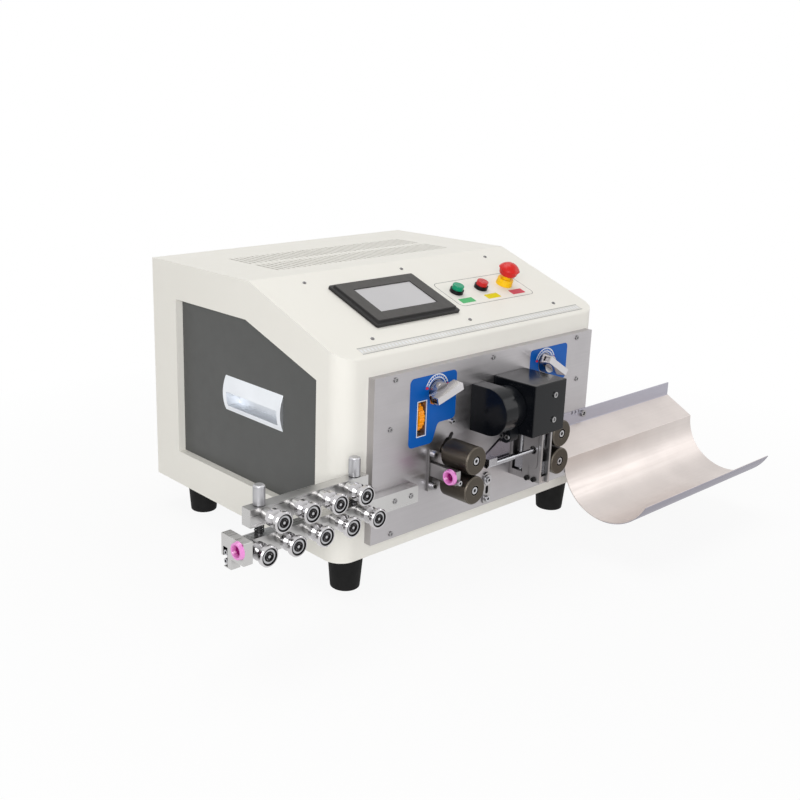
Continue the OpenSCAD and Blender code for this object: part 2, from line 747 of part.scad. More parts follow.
// Stepper motors on posts behind the plate
module stepper(x, z, w, l, shaft, posts) {
    boss = w*0.67;
    hole = w*0.413;
    difference() {
        union() {
            translate([x, motor_y + l, z]) rotate([90, 0, 0]) linear_extrude(l) round_rect(w, w, 4);
            rod_y(motor_y - 1.6, 2, x, z, boss);
            for (p = posts) rod_y(0, motor_y + 1, x + p[0]*hole, z + p[1]*hole, 8);
        }
        rod_y(motor_y - 3, motor_reach + 4, x, z, shaft + 2*run);
    }
}
module stepper_motors() color([0.2, 0.2, 0.21]) placed() {
    for (x = [front_roller_x, rear_roller_x])
        stepper(x, roller_low_z, feed_motor_w, feed_motor_l, spindle_d, [[-1, -1], [1, -1], [-1, 1]]);
    stepper(cutter_x, mitre_z, cut_motor_w, cut_motor_l, cut_shaft_d, [[-1, -1], [1, -1], [-1, 1], [1, 1]]);
}

// Cutter: motor shaft and upright screw joined by a mitre pair
module cutter_shaft() color([0.7, 0.7, 0.72]) placed() {
    rod_y(screw_y + mitre_r, motor_y + motor_reach - screw_y - mitre_r, cutter_x, mitre_z, cut_shaft_d);
    translate([cutter_x, screw_y + 3.4, mitre_z]) rotate([-90, 0, 0])
        cylinder(h = mitre_r - 3, r1 = 3, r2 = mitre_r);
}
module cutter_screw() color([0.7, 0.7, 0.72]) placed() translate([cutter_x, screw_y, 0]) {
    translate([0, 0, guide_z + 2]) cylinder(h = mitre_z - 6 - guide_z - 2, d = screw_d);
    translate([0, 0, mitre_z - mitre_r - 0.4]) cylinder(h = mitre_r - 3, r1 = mitre_r, r2 = 3);
}
module blade_guide() color([0.68, 0.68, 0.69]) placed() difference() {
    x0 = cutter_x - guide_w/2;
    union() {
        translate([x0, plate_front - 4, guide_z]) cube([guide_w, 4, cover_z - guide_z]);
        translate([x0, guide_left_front, guide_z])
            cube([guide_wall, guide_left_rear - guide_left_front, cover_z - guide_z]);
        translate([x0 + guide_w - guide_wall, guide_front, guide_z])
            cube([guide_wall, plate_front - guide_front, cover_z - guide_z]);
        translate([x0, guide_left_front, guide_z]) cube([guide_w, plate_front - guide_left_front, 8]);
    }
    translate([cutter_x, screw_y, guide_z + 1]) cylinder(h = 20, d = screw_d + 2*run);
    rod_x(x0 - 1, guide_w + 2, wire_y, wire_z, wire_hole_d);
}
// side is 1 for the upper holder and -1 for the lower one
module blade_holder(side) {
    translate([0, 0, wire_z]) mirror([0, 0, (1 - side)/2]) {
        z0 = blade_travel + holder_gap;
        difference() {
            union() {
                translate([cutter_x - holder_w/2, screw_y - 11, z0]) cube([holder_w, 17, holder_h]);
                translate([side > 0 ? cutter_x - holder_w/2 : cutter_x, wire_y - blade_w/2 - 1, z0])
                    cube([holder_w/2, screw_y - wire_y + blade_w/2, holder_h]);
            }
            translate([cutter_x, screw_y, z0 - 1]) cylinder(h = holder_h + 2, d = screw_d + 2*run);
        }
        blade_x = side > 0 ? cutter_x + 0.2 : cutter_x - blade_t - 0.2;
        along_x(blade_x, blade_t) translate([wire_y, 0]) polygon([
            [-blade_w/2, blade_travel - horn], [0, blade_travel], [blade_w/2, blade_travel - horn],
            [blade_w/2, z0 + holder_h - 2], [-blade_w/2, z0 + holder_h - 2]]);
    }
}
module upper_blade_holder() color([0.62, 0.62, 0.64]) placed() blade_holder(1);
module lower_blade_holder() color([0.62, 0.62, 0.64]) placed() blade_holder(-1);
module cutter_cover() color([0.09, 0.1, 0.12]) placed() difference() {
    translate([cover_x, plate_front - cover_out, cover_z]) cube([cover_w, cover_out, cover_h]);
    translate([cover_x + 3, plate_front - cover_out + 3, cover_z - 1])
        cube([cover_w - 6, cover_out, cover_h - 2]);
}

// Swing cover, its solenoid, the arm and the guide tube that it swings out
module swing_side(r) {
    intersection() {
        translate([swing_y, swing_z]) circle(r);
        translate([swing_y - r, swing_z - r]) square([r, 2*r]);
    }
    translate([swing_y, swing_z - r]) square([plate_front - swing_y, 2*r]);
}
module swing_cover() color([0.09, 0.1, 0.12]) placed() difference() {
    along_x(swing_x0, swing_x1 - swing_x0) swing_side(swing_r);
    along_x(swing_x0 + swing_wall, swing_x1 - swing_x0 - 2*swing_wall) {
        swing_side(swing_r - swing_wall);
        translate([swing_y, swing_z - swing_r + swing_wall])
            square([plate_front - swing_y + 1, 2*(swing_r - swing_wall)]);
    }
    rod_x(swing_x0 + swing_wall, 40, swing_y, swing_z, swing_shaft_d + 2);
}
module swing_solenoid() color([0.3, 0.3, 0.32]) placed() difference() {
    union() {
        rod_x(swing_x0 + swing_wall + fit, swing_x1 - swing_x0 - 2*swing_wall - 2*fit, swing_y, swing_z, 40);
        translate([swing_x0 + swing_wall + fit, swing_y, swing_z - 14])
            cube([swing_x1 - swing_x0 - 2*swing_wall - 2*fit, plate_front - swing_y, 28]);
    }
    rod_x(swing_x0 + swing_wall + 4, 40, swing_y, swing_z, swing_shaft_d + 2*run);
}
module swing_arm() color([0.09, 0.1, 0.12]) placed() {
    rod_x(swing_x0 + swing_wall + 5, swing_x1 - swing_x0 + 1, swing_y, swing_z, swing_shaft_d);
    along_x(arm_x0, arm_w) {
        translate([swing_y, swing_z]) circle(swing_r - 2.5);
        link([swing_y - 4, swing_z], [wire_y, arm_end_z], 16);
    }
    along_y(wire_y + tube_d/2, carrier_t) translate([0, wire_z + 1]) polygon([[tube_x0, 0],
        [arm_x0 + arm_w, 0], [arm_x0 + arm_w, carrier_h], [arm_x0, carrier_h], [tube_x0, 8]]);
    for (y = [wire_y - 4, wire_y + 4]) rod_x(arm_x0 - 0.8, 1, y, arm_end_z, 5);
}
module guide_tube() color([0.85, 0.85, 0.87]) placed() difference() {
    union() {
        rod_x(tube_x0, tube_x1 - tube_x0, wire_y, wire_z, tube_d - 2);
        rod_x(tube_x0, 48, wire_y, wire_z, tube_d);
        translate([tube_x0, wire_y - 4.5, wire_z]) cube([14, tube_d/2 + 4.5, 8]);
    }
    rod_x(tube_x0 - 1, tube_x1 - tube_x0 + 2, wire_y, wire_z, tube_bore);
}

// Ceramic eyelets: one in the end block, one before the front rollers
module eyelet(x, z) {
    translate([x, wire_y, z]) rotate([0, 90, 0]) difference() {
        union() {
            translate([0, 0, -lip_t]) cylinder(h = lip_t, d1 = eyelet_d - 2, d2 = eyelet_d);
            cylinder(h = holder_t - 1, d = eyelet_d - 8);
        }
        translate([0, 0, -lip_t - 1]) cylinder(h = holder_t + lip_t + 2, d = eyelet_bore);
        translate([0, 0, -lip_t - 0.01]) cylinder(h = 3, d1 = eyelet_bore + 5, d2 = eyelet_bore);
    }
}
module eyelets() color([0.92, 0.55, 0.84]) placed() {
    eyelet(holder_x0, wire_z - entry_drop);
    eyelet(eyelet_x + 3, wire_z);
}
module eyelet_holder() color([0.78, 0.78, 0.79]) placed() difference() {
    union() {
        translate([holder_x0, holder_front, holder_low])
            cube([holder_t, holder_rear - holder_front, end_block_h]);
        translate([holder_x0, bar_front - 8, bar_z]) cube([holder_t, 12, 20]);
    }
    rod_x(holder_x0 - 1, holder_t + 2, wire_y, wire_z - entry_drop, eyelet_d - 8 + 2*fit);
    translate([holder_x0 - 1, bar_front - 2, bar_z + 1]) cube([6, 7, 20]);
}

// Straightener: fixed bar, sprung slider, thumbscrews and two rows of grooved rollers
module straightener_bar() color([0.8, 0.8, 0.81]) placed() difference() {
    union() {
        translate([bar_x0, bar_front, bar_z]) cube([bar_x1 - bar_x0, bar_t, bar_h]);
        for (i = [0 : LOWER - 1]) rod_y(spool_y0 + 3, bar_front - spool_y0 - 2,
            spool_x0 + i*spool_pitch, row_low_z, axle_d);
        for (i = [0 : LOWER - 1]) rod_y(spool_y0 + spool_l + fit, bar_front - spool_y0 - spool_l,
            spool_x0 + i*spool_pitch, row_low_z, axle_d + 4);
    }
    for (x = [thumb_left_x, thumb_right_x]) translate([x, thumb_y, bar_z - 1])
        cylinder(h = bar_h + 2, d = rod_d + 2*run);
}
module straightener_slider() color([0.8, 0.8, 0.81]) placed() difference() {
    union() {
        translate([slider_x0, bar_front, slider_z]) cube([slider_x1 - slider_x0, bar_t, slider_h]);
        for (i = [0 : UPPER - 1]) rod_y(spool_y0 + 3, bar_front - spool_y0 - 2,
            spool_x0 + (i + 0.5)*spool_pitch, row_high_z, axle_d);
        for (i = [0 : UPPER - 1]) rod_y(spool_y0 + spool_l + fit, bar_front - spool_y0 - spool_l,
            spool_x0 + (i + 0.5)*spool_pitch, row_high_z, axle_d + 4);
    }
    for (x = [thumb_left_x, thumb_right_x]) translate([x, thumb_y, slider_z - 1])
        cylinder(h = slider_h + 2, d = rod_d + 2*run);
}
module thumbscrew(x) {
    translate([x, thumb_y, bar_z + 4]) cylinder(h = slider_z + slider_h - bar_z - 3, d = rod_d);
    translate([x, thumb_y, slider_z + slider_h + fit]) {
        cylinder(h = thumb_h - 1, d = thumb_d);
        translate([0, 0, thumb_h - 1]) cylinder(h = 1, d1 = thumb_d, d2 = thumb_d - 2);
    }
}
module left_thumbscrew() color([0.78, 0.78, 0.8]) placed() thumbscrew(thumb_left_x);
module right_thumbscrew() color([0.78, 0.78, 0.8]) placed() thumbscrew(thumb_right_x);

// Coil spring as a swept ring of points
module coil(r, wire, h, turns) {
    steps = turns*12;
    sides = 6;
    points = [for (i = [0 : steps], j = [0 : sides - 1])
        let (a = 360*turns*i/steps, b = 360*j/sides, q = r + wire/2*cos(b))
        [q*cos(a), q*sin(a), wire/2 + (h - wire)*i/steps + wire/2*sin(b)]];
    sides_faces = [for (i = [0 : steps - 1], j = [0 : sides - 1]) let (k = (j + 1) % sides)
        [i*sides + j, (i + 1)*sides + j, (i + 1)*sides + k, i*sides + k]];
    polyhedron(points, concat(sides_faces, [[for (j = [0 : sides - 1]) j]],
        [[for (j = [sides - 1 : -1 : 0]) steps*sides + j]]), convexity = 10);
}
module straightener_springs() color([0.1, 0.1, 0.1]) placed() for (x = [thumb_left_x, thumb_right_x])
    translate([x, thumb_y, bar_z + bar_h]) coil(rod_d/2 + 1.6, 1.4, slider_z - bar_z - bar_h, 4);

module spool(x, z) {
    translate([x, spool_y0, z]) rotate([-90, 0, 0]) difference() {
        rotate_extrude() polygon([[axle_d/2 + run, 3], [axle_d/2 + run, spool_l], [spool_d*0.36, spool_l],
            [spool_d*0.42, spool_l - 1], [spool_d*0.42, spool_l*0.7], [spool_neck/2, spool_l*0.55],
            [spool_neck/2, spool_l*0.45], [spool_d/2, spool_l*0.22], [spool_d/2, 1], [spool_d/2 - 1, 0],
            [spool_d*0.41, 0], [spool_d*0.41, 1.5], [spool_d*0.23, 1.5], [spool_d*0.23, 0.5], [0, 0.5], [0, 2],
            [axle_d/2 + run, 2]]);
        translate([0, 0, -1]) cylinder(h = 2.2, d = 7, $fn = 6);
    }
}
module lower_spool(i) color([0.82, 0.82, 0.84]) placed() spool(spool_x0 + i*spool_pitch, row_low_z);
module upper_spool(i) color([0.82, 0.82, 0.84]) placed() spool(spool_x0 + (i + 0.5)*spool_pitch, row_high_z);

// Output tray: flange, slope, half-round trough and raised front wall, bent from one sheet
module tray_side() {
    translate([tray_y, flange_z - flange_h]) square([tray_t, flange_h]);
    polygon([[tray_y + tray_t, flange_z - flange_h], [tray_y, flange_z - flange_h + 0.6],
        [knee_y, knee_z], [knee_y, knee_z - tray_t], [knee_y + tray_t, knee_z - tray_t]]);
    intersection() {
        translate([trough_y, knee_z - tray_t]) difference() {
            circle(trough_r + tray_t, $fn = 120);
            circle(trough_r, $fn = 120);
        }
        translate([trough_y, knee_z - tray_t]) polygon(concat([[0, 0]],
            arc([0, 0], 3*trough_r, -90 - trough_a, 0, 6)));
    }
}
module tray() color([0.86, 0.83, 0.82]) placed() difference() {
    along_x(tray_x, tray_l) tray_side();
    for (i = [0 : 2]) translate([plate_x + plate_w/2 - 30 + 7*i, 0, flange_z])
        along_y(tray_y - 1, tray_t + 2) link([0, -3], [0, 5], 3.5);
}

// Electrics inside and on the rear panel
module power_supply() color([0.7, 0.71, 0.72]) placed() translate([supply_x, electrics_y, base_t]) difference() {
    cube(supply);
    for (i = [0 : 7]) translate([12, 12 + 18*i, supply[2] - 1.5]) cube([supply[0] - 24, 5, 3]);
}
module control_board() color([0.05, 0.35, 0.2]) placed() translate([board_x, electrics_y, base_t]) {
    for (x = [6, board[0] - 6], y = [6, board[1] - 6]) translate([x, y, 0])
        cylinder(h = board_up + 0.5, d = 7);
    translate([0, 0, board_up]) cube(board);
    translate([12, 70, board_up + 1]) cube([board[0] - 24, 26, 12]);
    for (i = [0 : 4]) translate([14 + 26*i, 8, board_up + 1]) cube([18, 12, 11]);
}
module power_inlet() color([0.07, 0.07, 0.07]) placed() difference() {
    union() {
        translate([inlet_x, 0, inlet_z]) {
            along_y(body_d, inlet_out) round_rect(inlet_face[0], inlet_face[1], 3);
            along_y(body_d - 24, 24.5) square(inlet_cut - [2*fit, 2*fit], center = true);
        }
        translate([switch_x, 0, inlet_z]) {
            along_y(body_d, inlet_out - 0.5) round_rect(switch_face[0], switch_face[1], 2);
            along_y(body_d - 20, 20.5) square(switch_cut - [2*fit, 2*fit], center = true);
        }
    }
    along_y(body_d - socket_depth, 2*socket_depth) {
        translate([inlet_x, inlet_z]) square(inlet_bore, center = true);
        translate([switch_x, inlet_z]) square(switch_bore, center = true);
    }
}
module rocker_switch() color([0.6, 0.08, 0.06]) placed() along_x(switch_x - rocker_w/2, rocker_w)
    intersection() {
        translate([rocker_y, inlet_z]) circle(rocker_r);
        translate([rocker_y - 8, inlet_z - switch_bore[1]/2]) square([16, switch_bore[1]]);
    }

housing();
base_plate();
rear_panel();
side_panels();
side_handles();
front_plate();
feet();
panel_screws();
hmi_bezel();
hmi_screen();
button_collars();
start_button();
stop_button();
estop_collar();
estop_stem();
estop_head();
front_knob();
rear_knob();
thumbwheel();
pivot_pins();
feed_brackets();
front_lower_roller();
front_upper_roller();
rear_lower_roller();
rear_upper_roller();
front_arm();
rear_arm();
stepper_motors();
cutter_shaft();
cutter_screw();
blade_guide();
upper_blade_holder();
lower_blade_holder();
cutter_cover();
swing_cover();
swing_solenoid();
swing_arm();
guide_tube();
eyelets();
eyelet_holder();
straightener_bar();
straightener_slider();
left_thumbscrew();
right_thumbscrew();
straightener_springs();
tray();
power_supply();
control_board();
power_inlet();
rocker_switch();
for (i = [1 : LOWER])
    lower_spool(i - 1);
for (i = [1 : UPPER])
    upper_spool(i - 1);
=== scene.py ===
"""Looks of a bench-top wire cutting and stripping machine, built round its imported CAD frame."""
import json
import math

import bmesh
import bpy
from mathutils import Matrix, Vector


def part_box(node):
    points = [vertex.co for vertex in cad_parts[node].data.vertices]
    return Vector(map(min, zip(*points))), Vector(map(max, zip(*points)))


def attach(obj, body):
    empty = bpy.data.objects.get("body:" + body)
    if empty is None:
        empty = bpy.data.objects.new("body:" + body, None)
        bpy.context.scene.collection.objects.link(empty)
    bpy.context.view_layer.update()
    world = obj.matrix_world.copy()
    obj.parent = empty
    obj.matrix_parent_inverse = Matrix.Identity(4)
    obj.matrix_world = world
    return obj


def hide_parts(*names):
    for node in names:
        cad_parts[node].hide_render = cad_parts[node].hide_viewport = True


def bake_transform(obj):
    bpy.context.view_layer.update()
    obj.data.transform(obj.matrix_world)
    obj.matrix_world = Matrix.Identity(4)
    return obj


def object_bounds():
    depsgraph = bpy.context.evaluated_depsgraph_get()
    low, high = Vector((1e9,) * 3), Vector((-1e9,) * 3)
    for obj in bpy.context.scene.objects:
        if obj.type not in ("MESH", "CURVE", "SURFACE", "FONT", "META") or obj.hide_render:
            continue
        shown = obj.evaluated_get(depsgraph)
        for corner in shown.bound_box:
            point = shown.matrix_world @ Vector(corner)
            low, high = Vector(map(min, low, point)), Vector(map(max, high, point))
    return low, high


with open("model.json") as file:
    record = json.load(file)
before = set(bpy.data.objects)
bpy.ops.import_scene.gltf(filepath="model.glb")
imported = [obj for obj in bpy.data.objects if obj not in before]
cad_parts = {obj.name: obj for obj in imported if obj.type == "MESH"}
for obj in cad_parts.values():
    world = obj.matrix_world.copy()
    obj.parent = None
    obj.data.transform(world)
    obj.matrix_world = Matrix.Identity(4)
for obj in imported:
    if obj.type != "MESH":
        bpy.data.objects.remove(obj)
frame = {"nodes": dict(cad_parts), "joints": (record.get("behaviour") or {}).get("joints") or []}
cad_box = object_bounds()

# The measuring frame, in millimetres: x from the housing's middle, y back from its front
# and z up from its bottom
house_low, house_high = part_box("housing")
ORIGIN = Vector(((house_low.x + house_high.x) / 2, house_low.y, house_low.z))
PLATE_FRONT = (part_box("front_plate")[0].y - house_low.y) * 1000
JOINT_AT = {j["child"]: Vector(j["pos_m"]) for j in frame["joints"] if "pos_m" in j}

# Control slope: it starts at the front edge, and its normal is the way the buttons travel.
FRONT_EDGE = 232
SLOPE_N = Vector(next(j["axis"] for j in frame["joints"] if j["name"] == "start_press"))
SLOPE_V = Vector((0, SLOPE_N.z, -SLOPE_N.y))

# Camera, as the photograph's straight edges give it
CAMERA_AT = (-912.1, -770.3, 509.2)
CAMERA_AZIMUTH = -39.51
CAMERA_ELEVATION = 15.52
CAMERA_ROLL = 0.51
LENS = 46.66
SHIFT = (0.1254, -0.0357)


def mm(x, y, z):
    """A point of the measuring frame in the row frame, in metres."""
    return ORIGIN + Vector((x, y, z)) / 1000


def plane(origin, u, v, w):
    """Matrix from millimetres on a flat face, with w out of the face, to the row frame."""
    m = Matrix((u, v, w)).transposed().to_4x4() * 0.001
    m.translation = origin
    m[3][3] = 1
    return m


def front_face(y):
    """Plane that looks to the front, with x and z as its own directions."""
    return plane(mm(0, y, 0), X, Z, -Y)


def left_face(x):
    """Plane that looks to the left, with -y and z as its own directions."""
    return plane(mm(x, 0, 0), -Y, Z, -X)


def upper_face(z):
    """Plane that looks up, with x and y as its own directions."""
    return plane(mm(0, 0, z), X, Y, Z)


def measured(point):
    """A point of the row frame in the measuring frame."""
    return (point - ORIGIN) * 1000


X, Y, Z = Vector((1, 0, 0)), Vector((0, 1, 0)), Vector((0, 0, 1))
ON_SLOPE = plane(mm(0, 0, FRONT_EDGE), X, SLOPE_V, SLOPE_N)
ON_PLATE = front_face(PLATE_FRONT)


# Materials
def linear(rgb):
    """Linear colour of an sRGB triple from 0 to 255."""
    out = [c / 255 / 12.92 if c < 10.3 else ((c / 255 + 0.055) / 1.055) ** 2.4 for c in rgb]
    return (*out, 1)


class Finish:
    """A Principled material with its node helpers."""

    def __init__(self, name, rgb, metallic=0.0, roughness=0.5, **sockets):
        self.mat = bpy.data.materials.new(name)
        self.mat.use_nodes = True
        self.nodes = self.mat.node_tree.nodes
        self.links = self.mat.node_tree.links
        self.shader = self.nodes["Principled BSDF"]
        self.rgb = linear(rgb)
        self.shader.inputs["Base Color"].default_value = self.rgb
        self.shader.inputs["Metallic"].default_value = metallic
        self.shader.inputs["Roughness"].default_value = roughness
        for socket, value in sockets.items():
            self.shader.inputs[socket.replace("_", " ")].default_value = value
        self.coords = self.nodes.new("ShaderNodeTexCoord").outputs["Object"]
        self.colour = None
        self.normal = None

    def noise(self, scale, stretch=(1, 1, 1), detail=4.0, roughness=0.55):
        """Noise over the object, drawn out along the axis with the smallest stretch."""
        mapping = self.nodes.new("ShaderNodeMapping")
        mapping.inputs["Scale"].default_value = stretch
        self.links.new(self.coords, mapping.inputs["Vector"])
        tex = self.nodes.new("ShaderNodeTexNoise")
        tex.inputs["Scale"].default_value = scale
        tex.inputs["Detail"].default_value = detail
        tex.inputs["Roughness"].default_value = roughness
        self.links.new(mapping.outputs["Vector"], tex.inputs["Vector"])
        return tex.outputs["Fac"]

    def remap(self, value, low, high, to_low, to_high):
        node = self.nodes.new("ShaderNodeMapRange")
        for socket, number in zip(("From Min", "From Max", "To Min", "To Max"), (low, high, to_low, to_high)):
            node.inputs[socket].default_value = number
        self.links.new(value, node.inputs["Value"])
        return node.outputs["Result"]

    def tint(self, value, rgb, most=1.0):
        """Moves the base colour towards rgb where value is 1."""
        mix = self.nodes.new("ShaderNodeMix")
        mix.data_type = "RGBA"
        factor, first, second = mix.inputs[0], mix.inputs[6], mix.inputs[7]
        if self.colour:
            self.links.new(self.colour, first)
        else:
            first.default_value = self.rgb
        second.default_value = linear(rgb)
        if most != 1.0:
            value = self.remap(value, 0, 1, 0, most)
        self.links.new(value, factor)
        self.colour = mix.outputs[2]
        self.links.new(self.colour, self.shader.inputs["Base Color"])
        return self

    def mottle(self, rgb, scale, most=0.5, stretch=(1, 1, 1)):
        """Soft patches of another colour."""
        return self.tint(self.remap(self.noise(scale, stretch), 0.35, 0.65, 0, 1), rgb, most)

    def rough(self, low, high, scale, stretch=(1, 1, 1)):
        """Uneven gloss between two values of roughness."""
        value = self.remap(self.noise(scale, stretch), 0.3, 0.7, low, high)
        self.links.new(value, self.shader.inputs["Roughness"])
        return self

    def bump(self, value, depth, strength=1.0):
        node = self.nodes.new("ShaderNodeBump")
        node.inputs["Distance"].default_value = depth
        node.inputs["Strength"].default_value = strength
        self.links.new(value, node.inputs["Height"])
        if self.normal:
            self.links.new(self.normal, node.inputs["Normal"])
        self.normal = node.outputs["Normal"]
        self.links.new(self.normal, self.shader.inputs["Normal"])
        return self

    def shade_hollows(self, rgb, reach, most=0.8, start=0.85, full=0.35):
        """Painted shade: another colour in grooves and recesses, from an openness of start down to full."""
        hollow = self.nodes.new("ShaderNodeAmbientOcclusion")
        hollow.samples = 8
        hollow.inputs["Distance"].default_value = reach
        return self.tint(self.remap(hollow.outputs["AO"], start, full, 0, 1), rgb, most)

    def below(self, axis, limit):
        """1 where one of the object's own coordinates is under the limit, else 0."""
        parts = self.nodes.new("ShaderNodeSeparateXYZ")
        self.links.new(self.coords, parts.inputs[0])
        return self.remap(parts.outputs[axis], limit - 0.0001, limit + 0.0001, 1, 0)

    def beyond(self, centre, radius):
        """1 where the object lies farther than radius from a line along x, else 0."""
        mapping = self.nodes.new("ShaderNodeMapping")
        mapping.inputs["Location"].default_value = (0, -centre.y, -centre.z)
        mapping.inputs["Scale"].default_value = (0, 1, 1)
        self.links.new(self.coords, mapping.inputs["Vector"])
        length = self.nodes.new("ShaderNodeVectorMath")
        length.operation = "LENGTH"
        self.links.new(mapping.outputs["Vector"], length.inputs[0])
        return self.remap(length.outputs["Value"], radius - 0.0001, radius + 0.0001, 0, 1)

    def worn_edges(self, rgb, radius, most=0.6):
        """Another colour along sharp edges, such as bare metal or a dark rim."""
        bevel = self.nodes.new("ShaderNodeBevel")
        bevel.samples = 4
        bevel.inputs["Radius"].default_value = radius
        geometry = self.nodes.new("ShaderNodeNewGeometry")
        dot = self.nodes.new("ShaderNodeVectorMath")
        dot.operation = "DOT_PRODUCT"
        self.links.new(bevel.outputs["Normal"], dot.inputs[0])
        self.links.new(geometry.outputs["Normal"], dot.inputs[1])
        return self.tint(self.remap(dot.outputs["Value"], 0.99, 0.85, 0, 1), rgb, most)


def powder_coat(name, rgb, shade, grain=0.00004):
    f = Finish(name, rgb, roughness=0.42, Specular_IOR_Level=0.3)
    f.mottle(shade, 9, 0.25)
    f.rough(0.36, 0.5, 60)
    f.bump(f.noise(900, detail=2), grain, 0.5)
    return f


def metal(name, rgb, roughness, stretch=(1, 1, 1), scale=220, depth=0.00002, spread=0.08):
    """Machined or brushed metal: the grain runs along the axis with the smallest stretch."""
    f = Finish(name, rgb, metallic=1.0, roughness=roughness)
    f.mottle([c * 0.88 for c in rgb], 14, 0.35)
    f.rough(roughness - spread, roughness + spread, scale, stretch)
    f.bump(f.noise(scale, stretch, detail=6), depth, 0.4)
    return f


def plastic(name, rgb, roughness=0.3, grain=0.0, scale=700, coat=0.0, specular=0.4):
    f = Finish(name, rgb, roughness=roughness, Coat_Weight=coat, Specular_IOR_Level=specular)
    f.mottle([c * 0.85 for c in rgb], 22, 0.3)
    f.rough(roughness - 0.05, roughness + 0.06, 120)
    if grain:
        f.bump(f.noise(scale, detail=2), grain, 0.6)
    return f


BRUSH_X = (0.02, 1, 1)
BRUSH_Z = (1, 1, 0.02)

cream = powder_coat("cream_paint", (238, 236, 229), (232, 230, 222)).mat
panel_grey = powder_coat("grey_paint", (84, 85, 84), (77, 78, 77), 0.00006).mat
plate_alu = metal("plate_aluminium", (185, 182, 184), 0.38, BRUSH_X, 500, 0.000015).mat
# Painted shade in grooves and recesses of the machined, bar, chrome, satin chrome and screw finishes, the
# screws near black in their sockets
machined = metal("machined_aluminium", (176, 174, 174), 0.34, BRUSH_Z, 400)
machined = machined.shade_hollows((70, 69, 70), 0.012).mat
bar_alu = metal("bar_aluminium", (200, 199, 198), 0.32, BRUSH_X, 420)
bar_alu = bar_alu.shade_hollows((96, 95, 96), 0.012).mat
steel = metal("ground_steel", (176, 176, 180), 0.28, scale=300).mat
zinc = metal("zinc_plate", (190, 192, 196), 0.4, scale=60).mat
chrome = metal("chrome", (206, 204, 206), 0.12, scale=80, depth=0.000005, spread=0.03)
chrome = chrome.shade_hollows((48, 46, 48), 0.022, 0.95).mat
satin_chrome = metal("satin_chrome", (194, 194, 197), 0.36, scale=150, depth=0.00001, spread=0.05)
satin_chrome = satin_chrome.shade_hollows((84, 83, 86), 0.008).mat
screw_steel = metal("screw_steel", (168, 167, 168), 0.3, scale=150)
screw_steel = screw_steel.shade_hollows((16, 16, 17), 0.0025, 1.0)
screw_steel = screw_steel.worn_edges((52, 51, 52), 0.0005, 0.9).mat
handle_silver = metal("handle_silver", (240, 243, 247), 0.48, scale=150, depth=0.00001, spread=0.04).mat
dark_steel = metal("black_oxide", (52, 51, 52), 0.45, scale=300).mat
spring_black = plastic("spring_black", (20, 20, 21), 0.4, 0.00002, specular=0.3).mat
gloss_black = plastic("gloss_black", (13, 15, 19), 0.17, 0.00001, 500, specular=0.2).mat
matt_black = plastic("matt_black", (24, 24, 25), 0.5, 0.00004, specular=0.2).mat
bezel_dark = plastic("bezel_dark", (40, 39, 39), 0.45, 0.00003, 1500, specular=0.25).mat
bezel_grey = plastic("bezel_grey", (66, 64, 62), 0.45, 0.00003, 1500, specular=0.25).mat
rubber = plastic("rubber", (20, 20, 20), 0.75, 0.00006, 500, specular=0.2).mat
green = plastic("green_cap", (0, 150, 108), 0.25, coat=0.1, specular=0.3).mat
red = plastic("red_cap", (204, 28, 32), 0.25, coat=0.1, specular=0.3).mat
stop_red = plastic("stop_red", (214, 24, 18), 0.28, coat=0.1, specular=0.3).mat
stop_yellow = plastic("stop_yellow", (255, 204, 0), 0.35).mat
orange = plastic("orange_wheel", (255, 158, 0), 0.35).mat
# Painted shade, dark magenta, inside the eyelets' holes
pink = plastic("pink_ceramic", (238, 146, 218), 0.2, coat=0.3)
pink = pink.shade_hollows((160, 30, 120), 0.012, 1.0, 0.97, 0.6).mat
screen = Finish("screen", (199, 198, 200), roughness=0.3, Specular_IOR_Level=0.2)
screen = screen.mottle((190, 189, 191), 5, 0.6).mat
board = plastic("board", (16, 92, 52), 0.4, 0.00003).mat
blue = plastic("label_blue", (2, 90, 178), 0.4, 0.00001, 800, specular=0.2).mat
ink_white = plastic("white_ink", (236, 237, 238), 0.5, specular=0.2).mat
ink_red = plastic("red_ink", (222, 40, 62), 0.5, specular=0.2).mat
ink_grey = plastic("grey_ink", (150, 149, 147), 0.5, specular=0.2).mat
ink_pale = plastic("pale_ink", (224, 223, 219), 0.5, specular=0.2).mat
patch_green = plastic("green_patch", (78, 182, 112), 0.4, specular=0.2).mat
patch_yellow = plastic("yellow_patch", (233, 215, 24), 0.4, specular=0.2).mat
patch_red = plastic("red_patch", (216, 62, 84), 0.4, specular=0.2).mat


def roller_metal():
    """Dark hardened roller: brown-grey, satin, with light worn rims."""
    f = metal("roller_metal", (84, 78, 70), 0.44, (1, 0.05, 1), 500, 0.00004)
    f.worn_edges((176, 168, 158), 0.0009, 0.6)
    return f.mat


# The swing arm is bare steel below and to the left of these
ARM_BARE_Z = 109.8
ARM_BARE_X = -5.2


def arm_finish():
    """Black swing arm with a bare steel carrier, shaft and screws; the bare steel's dark purple-grey is
    painted shade.
    """
    f = plastic("swing_arm_black", (15, 17, 21), 0.3, 0.00002, 500, specular=0.16)
    bare = f.nodes.new("ShaderNodeMath")
    bare.operation = "MAXIMUM"
    f.links.new(f.below("Z", mm(0, 0, ARM_BARE_Z).z), bare.inputs[0])
    f.links.new(f.below("X", mm(ARM_BARE_X, 0, 0).x), bare.inputs[1])
    # Bare steel region, its dark purple-grey tone painted shade
    f.tint(bare.outputs[0], (124, 119, 127))
    f.links.new(bare.outputs[0], f.shader.inputs["Metallic"])
    return f.mat


# Tray: height where the upright flange starts, the trough's axis and a radius between its two faces, which
# bound the tray's painted shade
TRAY_FLANGE = 87.2
TROUGH_AT = (0, -110.5, 64.5)
TROUGH_R = 60.75


